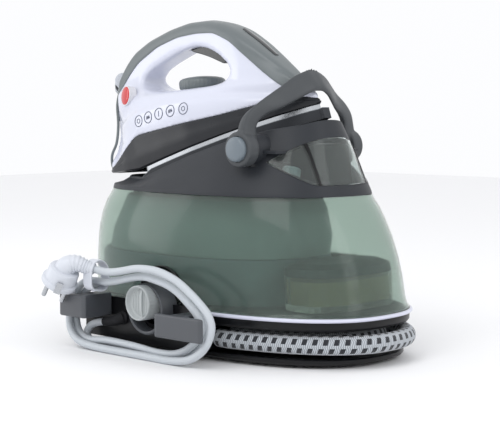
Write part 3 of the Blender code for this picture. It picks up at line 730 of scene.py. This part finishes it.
# along the iron: the half width of its plan, the top of the skirt and the ridge
PLAN_HALF = dense([(-66, 22), (-65, 29), (-60, 34), (-52, 38), (-40, 41.5), (-20, 46.5), (0, 49),
                   (40, 50), (80, 49), (120, 43), (150, 35.5), (180, 23.5), (200, 13), (212, 6),
                   (218, 0)])
SKIRT_TOP = dense([(-66, 30), (-48, 30.5), (-32, 34.5), (3, 47), (14, 46.3), (77, 38), (120, 32),
                   (150, 29.5), (180, 27.5), (200, 25), (211, 22), (218, 17)])
RIDGE_TOP = dense([(-66, 35), (-63, 42), (-60, 46), (-56, 53), (-53.5, 66), (-52, 82), (-50.5, 101),
                   (-46, 113), (-38, 123.5), (-31, 130.5), (-20, 138.5), (-6, 145.5), (19, 149.8),
                   (51, 150), (80, 147), (108, 139), (128, 129), (144, 117), (164, 94.5), (183, 69),
                   (198, 49), (210, 31), (216, 22)])
# the half width of the ridge, the height of the shoulder and the half width of the body above the skirt
RIDGE_HALF = dense([(-66, 20), (-60, 16), (-54, 12), (-50, 13), (-44, 14.5), (0, 15.5), (50, 16),
                    (100, 17), (125, 20), (150, 21), (178, 15), (198, 8), (210, 3), (216, 1)])
SHOULDER = dense([(-66, 33), (-58, 42), (-50, 62), (-40, 74), (-13, 75.5), (52, 70), (90, 62), (123, 53),
                  (160, 40), (187, 30), (205, 20), (216, 15)])
BODY_HALF = dense([(-66, 34), (-59, 34), (-55, 22), (-52, 13), (-46, 20), (-38, 28), (-28, 35.5),
                   (-10, 43.5), (10, 49.5), (218, 60)])
HEEL, TIP = -66, 218


def plan(z, d=0.0, x0=HEEL, n=240, tip=TIP):
    """Outline of the iron grown by d, at height z; one that starts past the heel gets a round end."""
    whole = x0 == HEEL
    a, b = x0 - d, tip + d
    x = (a + b) / 2 + (b - a) / 2 * np.cos(np.linspace(0, 2 * math.pi, n, endpoint=False))
    out = []
    for i in range(n):
        past = x[i] - a
        w = table(PLAN_HALF, min(HEEL + past * (TIP - HEEL) / (b - a) if whole else x[i], TIP))
        if not whole:
            e = min(1.0, max(0.0, past / 12))
            w *= math.sqrt(max(0.0, 1 - (1 - e) ** 2))
        end = min(1.0, math.sqrt(max(0.0, past / 4))) if whole else 1.0
        w = 0 if i in (0, n // 2) else max(0.4, w + d) * end
        out.append((x[i], w if i < n / 2 else -w, z(x[i]) if callable(z) else z))
    return out


def half(x, grow=0.0):
    """Half profile at station x: from the skirt up the side, over shoulder and deck, to the ridge."""
    zb, zt, zs, w, wt = (table(t, x) for t in (SKIRT_TOP, RIDGE_TOP, SHOULDER, PLAN_HALF, RIDGE_HALF))
    w = max(w, wt * 0.9)
    zs = min(zs, zb + 0.62 * (zt - zb))
    zd = min(90 - 0.25 * (x - 30), zb + 0.8 * (zt - zb))
    zd = max(zd, zs + 3)
    wu = min(w, max(table(BODY_HALF, x), wt))
    wd = min(27, 0.68 * wu + 2)
    wd = max(wd, wt + 0.6)
    rise = zt - zd
    pts = [(w, zb), (wu * 0.8 + w * 0.2 + 0.3, zb + 0.4 * (zs - zb)), (wu - 1.2, zb + 0.8 * (zs - zb)),
           (wu - 6.5 * min(1, wu / 40), zs + 1.5), ((wu + wd) / 2 - 1, zs + 0.62 * (zd - zs)), (wd, zd),
           (wt + 2.2, zd + 0.3 * rise), (wt, zd + 0.62 * rise), (wt * 0.93, zt - 0.14 * rise),
           (wt * 0.62, zt - 0.03 * rise), (0.0, zt)]
    P, _ = smooth([(x, a, b) for a, b in pts], 1.0)
    P = pick(P, np.linspace(0, len(P) - 1, 64))
    if grow:
        T = np.gradient(P, axis=0)
        N = np.stack([T[:, 0] * 0, T[:, 2], -T[:, 1]], 1)
        N /= np.linalg.norm(N, axis=1)[:, None]
        P = P + N * grow
    return P


def mirrored(h):
    """A half profile from one side over its last point to the other side."""
    return [tuple(p) for p in h] + [(p[0], -p[1], p[2]) for p in h[-2::-1]]


stations = np.r_[np.linspace(-65.5, -42, 22)[:-1], np.linspace(-42, 216, 84)]
rings = [[iron_pt(p) for p in mirrored(half(x))] for x in stations]
shell = build("iron shell", *grid(rings), "white", None)
# x and height of the handle opening
HANDLE_HOLE, _ = smooth([(3, 106, 0), (6, 113, 0), (20, 117.5, 0), (44, 119.5, 0), (70, 120, 0),
                         (90, 116.5, 0), (107, 107, 0), (121, 94.5, 0), (130.5, 81, 0), (131.5, 72.5, 0),
                         (124, 67, 0), (110, 67.5, 0), (88, 72.5, 0), (66, 78, 0), (42, 85, 0),
                         (24, 91, 0), (9, 98.5, 0)], 3.0, closed=True)
cut(shell, prism([(p[0], p[1]) for p in HANDLE_HOLE[:-1]], -70, 70, iron_pt))
remesh(shell, 1.5, 5)
# soften the rim of the opening, fading out over 7 mm
loop = np.array([iron_pt((p[0], 0, p[1])) for p in HANDLE_HOLE]) * MM
group = shell.vertex_groups.new(name="rim")
co = np.array([v.co for v in shell.data.vertices])
near = np.min(np.hypot(co[:, None, 0] - loop[None, :, 0], co[:, None, 2] - loop[None, :, 2]), axis=1) / MM
for i in np.nonzero(near < 13)[0]:
    group.add([int(i)], float(np.clip((13 - near[i]) / 7, 0, 1)), "REPLACE")
m = shell.modifiers.new("soften", "SMOOTH")
m.factor = 0.5
m.iterations = 60
m.vertex_group = "rim"
bake(shell)
trigger_slot = [(70, 111), (70, 121.5), (73, 122.5), (93, 115), (111, 101.5), (118.5, 91), (117.5, 83),
                (106, 83)]
cut(shell, prism(trigger_slot, -8, 8, iron_pt))
hollow = [plan(4, -4.2, -44, 120, 200), plan(34, -6, -44, 120, 180), plan(46, -17, -36, 120, 140),
          plan(57, -31, -20, 120, 118)]
cut(shell, build("cutter", *grid([[iron_pt(p) for p in r] for r in hollow]), "black", None))
shade(shell, 40)
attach(shell, "iron")
swap(shell, "iron_shell")

# grey cover: the top of the same sections, just proud of the shell, carried down both sides
COVER_EDGE = dense([(-52, 74), (-50, 90), (-46, 101), (-38, 110), (-20, 122), (-1, 131), (33, 137),
                    (65, 136), (93, 130), (119, 121), (139, 105), (154, 85), (173, 59), (192, 36),
                    (209, 17)])


def cover_ring(x, top):
    """The cover's outer or inner profile at station x, down to its edge."""
    h, mid = half(x, 1.0 if top else -1.0), half(x, 0.2)
    z0 = table(COVER_EDGE, x)
    k = next((i for i in range(20, len(h)) if mid[i][2] > z0), len(h) - 8)
    if k > 20:
        k = k - (mid[k][2] - z0) / max(0.2, mid[k][2] - mid[k - 1][2])
    k = min(k, len(h) - 8)
    P = pick(h, np.linspace(k, len(h) - 1, 22))
    P[0] = 0.5 * (P[0] + pick(mid, k))
    return mirrored(P)


cover_x = np.r_[np.linspace(-50.5, -36, 14)[:-1], np.linspace(-36, 208, 90)]
rings = []
for x in cover_x:
    rings.append([iron_pt(p) for p in cover_ring(x, True) + cover_ring(x, False)[::-1]])
cover = build("top cover", *grid(rings), "cover", "iron", 42, slot="grey_cover")
swap(cover, "top_cover", "heel_cover")


# skirt, sole and rest tray
def skirt_foot(x):
    return 12 + max(0.0, -x) * 0.22


def up(k):
    """Height at share k of the skirt, as a function of x."""
    return lambda x: skirt_foot(x) + (table(SKIRT_TOP, x) - 0.3 - skirt_foot(x)) * k


def lip(d):
    """Height of the rest tray's lip, raised by d, as a function of x."""
    return lambda x: table([(0, -0.5), (22, 6)], x) + d


skirt = [plan(skirt_foot, -1.2), plan(up(0.05), 0.2), plan(up(0.3), 0.9), plan(up(0.55), 0.9),
         plan(up(0.62), 0.2), plan(up(0.9), 0.3), plan(up(1.0), -0.2), plan(up(1.0), -3),
         plan(skirt_foot, -3)]
swap(loft("skirt", skirt, "skirt", None, "iron", place=iron_pt, slot="slate_abs"), "skirt")
sole = [plan(0, -2.5, -2), plan(1.2, -1.2, -2), plan(11.6, -1.2, -2)]
swap(loft("soleplate", sole, "steel", None, "iron", False, iron_pt), "soleplate")
tray = [plan(-0.7, 3.5, -4), plan(lip(0), 3.5, -4), plan(lip(0), 5, -4), plan(-4.5, 5, -4)]
swap(loft("rest tray", tray, "slate", None, "base", False, iron_pt, slot="slate_abs"), "rest_tray")
rim = [plan(lip(-0.3), 4.7, -4), plan(lip(0.35), 4.8, -4), plan(lip(0.35), 5.1, -4), plan(lip(-0.3), 5.25,
    -4)]
loft("rest rim", rim, "rim", None, "base", place=iron_pt)

# badge, icons, lamp, dial, trigger, boot
bm = bmesh.new()
bm.from_mesh(shell.data)
SHELL_TREE = BVHTree.FromBMesh(bm)
bm.free()


def on_side(x, z):
    """Nearest point of the shell's near side to iron x, z, and its normal, in millimetres."""
    hit = SHELL_TREE.ray_cast(Vector(iron_pt((x, -90, z))) * MM, Vector((0, 1, 0)))
    return (np.array(hit[0]) / MM, np.array(hit[1])) if hit[0] else (None, None)


def line_on_side(pts, r, closed=True):
    """Raised ink line through iron x, z points on the near side."""
    out = []
    for x, z in pts:
        p, n = on_side(x, z)
        if p is not None:
            out.append(tuple(p + n * r * 0.35))
    if len(out) > 3:
        tube("icon", np.array(out + ([out[0]] if closed else [])), r, "icon", "iron", 6)


full_turn = np.linspace(0, 2 * math.pi, 40, endpoint=False)
for n_icon, (x, z) in enumerate(((15, 60.5), (30.5, 59.5), (47, 58), (64, 55.5), (82, 52))):
    line_on_side([(x + 5.8 * math.cos(t), z + 5.8 * math.sin(t)) for t in full_turn], 0.42)
    if n_icon in (0, 4):
        line_on_side([(x + 2.2 * math.cos(t), z + 2.2 * math.sin(t)) for t in full_turn], 0.35)
    elif n_icon in (1, 3):
        line_on_side([(x - 2.6 + k * 0.65, z + (1.6 if k % 2 else -1.6)) for k in range(9)], 0.35, False)
    else:
        line_on_side([(x + 0.1 * k - 0.5, z - 3 + 0.6 * k) for k in range(11)], 0.35, False)


def dome(name, c, n, r, h, mat):
    """Shallow round dome with its middle at iron point c, facing n, with a straight wall behind it."""
    depth = 8
    nv = iron_way(n)
    u = nv.orthogonal().normalized()
    w = nv.cross(u)
    c = Vector(iron_pt(c))
    rings = []
    for k in range(10):
        a = math.pi / 2 * max(0, k - 1) / 8
        rr = r * max(0.02, math.cos(a))
        lift = nv * (h * math.sin(a) if k else -depth)
        turn = np.linspace(0, 2 * math.pi, 64, endpoint=False)
        rings.append([tuple(c + lift + u * (rr * math.cos(t)) + w * (rr * math.sin(t))) for t in turn])
    return build(name, *grid(rings), mat, "iron", 50)


dome("badge rim", (-11.5, -34.4, 97.6), (-0.25, -0.95, 0.2), 10.8, 0.8, "badge_rim")
badge = swap(dome("badge", (-11.5, -34.8, 97.6), (-0.25, -0.95, 0.2), 9.9, 1.8, "red"), "badge")

lens_x = (146, 150, 156, 162, 168, 174, 179)
rings = []
for i, x in enumerate(lens_x):
    zt = table(RIDGE_TOP, x) + 1.2
    w = 4.4 * math.sin(math.pi * (0.16 + 0.68 * i / (len(lens_x) - 1))) ** 0.5
    section = ((-1, -2), (-0.9, 0.3), (-0.5, 0.75), (0, 0.9), (0.5, 0.75), (0.9, 0.3), (1, -2))
    rings.append([iron_pt((x + 0.6 * up_by, side * w, zt + up_by)) for side, up_by in section])
swap(build("lamp lens", *grid(rings), "lens", "iron", 50, slot="smoke_lens"), "lamp_lens")


def dial_flute(t, h):
    return 0.008 * math.sin(t * 36) if 0 < h < 7.6 else 0


DIAL_AXIS = Vector((0.25, 0, 0.97)).normalized()
dial = lathe("dial", [(0.01, -3), (22, -3), (23.4, -1), (24.2, 1), (24.4, 6.6), (23.4, 8.6), (21, 10),
                      (16, 11.2), (9, 12), (0.01, 12.2)], (69.5, 0, 78.8), DIAL_AXIS, "cover", "dial",
             180, 50, "grey_cover", iron_pt, dial_flute)
swap(dial, "dial")
trigger_side, _ = smooth([(72, 121, 0), (75, 116.5, 0), (85, 110.5, 0), (97, 102.5, 0), (108, 94, 0),
                          (114, 90, 0), (118, 92.5, 0), (112, 101, 0), (104, 109.5, 0), (94, 117, 0),
                          (84, 122, 0)], 2.5, closed=True)
trigger = block("trigger", [(p[0], p[1]) for p in trigger_side[:-1]], "y", -7.2, 7.2, "lens", None, 1.4,
                "handle_grey")
for v in trigger.data.vertices:
    v.co = [c * MM for c in iron_pt([c / MM for c in v.co])]
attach(trigger, "trigger")
swap(trigger, "trigger")
swap(lathe("hose boot", [(7, 0), (9.6, 0), (9.6, 2.2), (8.2, 3), (8.2, 4.2), (9.6, 5), (9.6, 7),
                         (8.2, 7.8), (8.2, 9), (9.8, 10), (9.8, 12), (8.6, 13), (8.8, 20), (9, 30)],
           BOOT_AT, BOOT_AXIS, "plug", "iron", 72, 35, "white_abs"), "hose_boot")
for s in (-1, 1):
    seam, _ = smooth([(-42, 13 * s, 113), (-49.5, 14 * s, 99), (-51.5, 17 * s, 78), (-54, 23 * s, 58),
                      (-60, 28 * s, 46), (-64.5, 27 * s, 35), (-65, 24 * s, 30)], 1.5)
    tube("rear line", np.array([iron_pt(p) for p in seam]), 1.5, "cover", "iron", 12)

# ------------------------------------------------------------ lock handle
ARCH_OUT = [(0, 84, 0), (16, 84, -3), (30, 79, -1), (40, 66, 3), (48.5, 51, 6), (57, 37, 10),
            (65.5, 24, 13), (71, 10, 15), (71.8, 0, 15)]
ARCH_IN = [(0, 66, 2), (16, 66, -1), (24, 63.5, 2), (31, 54, 7), (36.5, 41, 14), (43, 29, 20),
           (49, 18, 25), (53.4, 7, 28), (54, 0, 28)]


def arch(side):
    """Line over the arch from its height, y, x rows of one side."""
    rows = [(h, -y, x) for h, y, x in side] + list(side[-2::-1])
    line, _ = smooth([(PIVOT_X + x, y, PIVOT_Z + h) for h, y, x in rows], 2)
    return line


def squared(t):
    return math.copysign(abs(t) ** (2 / 3.4), t)


arch_out, arch_in = arch(ARCH_OUT), arch(ARCH_IN)
rings = []
for q in np.linspace(0, 1, 90):
    a, b = (pick(line, q * (len(line) - 1)) for line in (arch_out, arch_in))
    top = min(1.0, max(0.0, (a[2] - 212) / 40))
    side = np.array([1 - 0.34 * top, 0, 0.75 * top])
    side = side / np.linalg.norm(side) * (11 - 4.2 * top)
    c, u, w = (a + b) / 2 + side / 2, (a - b) / 2, side / 2
    turn = np.linspace(0, 2 * math.pi, 28, endpoint=False)
    rings.append([tuple(c + u * squared(math.cos(t)) + w * squared(math.sin(t))) for t in turn])
lock = build("lock handle", *grid(rings), "handle", None)
for s in (1, -1):
    hub = [(0.01, 0), (15.5, 0), (16.8, 1.5), (16.8, 13), (16, 14.3), (0.01, 14.5)]
    cut(lock, lathe("cutter", hub, (PIVOT_X, s * 71, PIVOT_Z), (0, s, 0), "handle", None), "UNION")
for k in range(-2, 3):
    rib = [(0.01, 0), (0.9, 0), (0.9, 9), (0.01, 9)]
    at = (85, k * 3.4, 270.6 - abs(k) * 0.7)
    cut(lock, lathe("cutter", rib, at, (0.66, 0, 0.75), "handle", None, 12), "UNION")
remesh(lock, 0.9, 4)
for s in (1, -1):
    rod_cut(lock, (PIVOT_X, s * 75, PIVOT_Z), (0, s, 0), 12.5, 20)
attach(lock, "lock_handle")
swap(lock, "lock_handle")
for s, nm in ((-1, "near"), (1, "far")):
    push = [(0.01, 0), (12, 0), (12, 8.4), (11.6, 9.8), (10.4, 10.9), (8, 11.4), (0.01, 11.7)]
    button = lathe("button " + nm, push, (PIVOT_X, s * 79, PIVOT_Z), (0, s, 0), "button", "push_" + nm,
                   96, 50, "button_grey")
    swap(button, "push_button_" + nm)
    block("ledge", [(80, s * 50), (102, s * 50), (100, s * 62), (80, s * 64)], "z", 195.5, 198.5, "slate",
          "base", 0.8)
    sleeve = [(10, 0), (14, 0), (14, 20), (13, 22.5)]
    boss = lathe("boss " + nm, sleeve, (PIVOT_X, s * 48, PIVOT_Z), (0, s, 0), "slate", "base",
                 slot="slate_abs")
    swap(boss, "pivot_boss_" + nm)

# ----------------------------------------------- CAD pieces kept, dressed
KEPT = (
    (("cord_panel",), "black", 1.0),
    (("boiler", "heating_block", "solenoid_valve"), "alu", 0.8),
    (("drain_socket", "steam_pipe"), "brass", 0),
    (("calc_plug",), "steel", 0.3),
    (("pump",), "inner_dark", 1),
    (("control_board",), "pcb", 0.3),
    (("filter_housing",), "filter", 0),
    (("resin_bed",), "resin", 0),
    (("filter_lid",), "inner_dark", 0.6),
    (("foot_1", "foot_2", "foot_3", "foot_4"), "rubber", 0.3),
    (("filler_bowl",), "inner_dark", 1),
    (("control_panel",), "slate", 1.0),
    (("power_switch",), "black", 0.5),
    (("steam_button",), "button", 0.4),
    (("indicator_lens",), "amber", 0.3),
)
for names, mat, edge in KEPT:
    for nm in names:
        dress(nm, mat, edge)


# -------------------------------------------------------- floor and light
bpy.ops.mesh.primitive_plane_add(size=6, location=(0, 0, FLOOR_Z * MM))
floor = bpy.context.object
floor.name = "floor"
floor_look = Nodes("floor_white")
floor_look.set(Base_Color=srgb("f4f4f5"), Roughness=0.75)
floor.data.materials.append(floor_look.m)
world = bpy.data.worlds.new("world")
scene.world = world
world.use_nodes = True
background = world.node_tree.nodes["Background"]
background.inputs[0].default_value = (0.98, 0.985, 1.0, 1)
background.inputs[1].default_value = 1.0


def light(name, loc, aim, power, size):
    lamp = bpy.data.lights.new(name, "AREA")
    lamp.shape = "RECTANGLE"
    lamp.size, lamp.size_y = size
    lamp.energy = power
    o = bpy.data.objects.new(name, lamp)
    scene.collection.objects.link(o)
    o.location = loc
    o.rotation_euler = (Vector(loc) - Vector(aim)).to_track_quat("Z", "Y").to_euler()


light("key", (0.2, -1.4, 1.5), (0, 0, 0.12), 9, (1.0, 1.0))
light("right", (1.5, 0.2, 0.9), (0, 0, 0.12), 4, (0.6, 1.2))
light("left", (-1.2, -0.9, 0.6), (0, 0, 0.12), 3, (0.5, 1.0))
